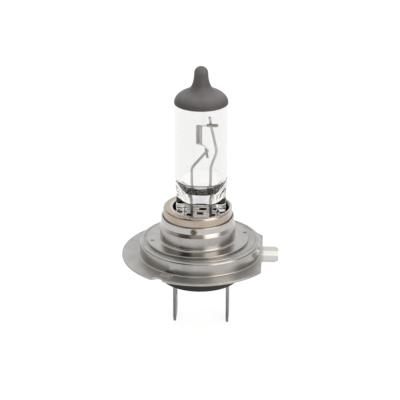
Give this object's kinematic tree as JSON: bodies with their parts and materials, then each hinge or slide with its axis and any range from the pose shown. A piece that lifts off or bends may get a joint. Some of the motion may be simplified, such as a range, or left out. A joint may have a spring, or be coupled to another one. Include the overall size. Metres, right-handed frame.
{
  "type": "halogen headlight bulb",
  "caption": "Halogen headlight bulb: clear glass tube with a dark coated tip and an axial filament, in a stepped round metal cap with a locating tab, black insulator and flat blade terminals.",
  "frame": {"origin": "centre of the reference plane: the upper face of the flange, on the axis of the raised disc", "axes": "+Z along the lamp's axis towards the glass tip, +X out through the locating tab; the blade terminals point along -Z"},
  "size_m": [0.0337, 0.0324, 0.0579],
  "materials": {
    "cap_steel": "satin rolled sheet",
    "collar_steel": "bright drawn, lightly satin",
    "ring_nickel": "warm satin nickel",
    "holder_steel": "bright stamped sheet",
    "terminal_steel": "dull tinned",
    "lead_wire": "drawn wire, satin",
    "filament_wire": "dull grey",
    "crimp_metal": "dull, slightly brown",
    "weld_mark": "heat tinted",
    "envelope_glass": "clear, polished",
    "glare_coating": "dark grey matte coating",
    "insulator_plastic": "moulded, slightly textured"
  },
  "bodies": {
    "root": {"base_flange": "cap_steel", "collar": "collar_steel", "focusing_ring": "ring_nickel", "glass_envelope": "envelope_glass", "anti_glare_cap": "glare_coating", "filament": "filament_wire", "long_lead_wire": "lead_wire", "short_lead_wire": "lead_wire", "upper_crimp": "crimp_metal", "lower_crimp": "crimp_metal", "pinch_holder_front": "holder_steel", "pinch_holder_rear": "holder_steel", "insulator": "insulator_plastic", "terminal_left": "terminal_steel", "terminal_right": "terminal_steel", "ring_weld_1": "weld_mark", "ring_weld_2": "weld_mark", "ring_weld_3": "weld_mark", "foot_weld_1": "weld_mark", "foot_weld_2": "weld_mark"}
  },
  "joints": []
}
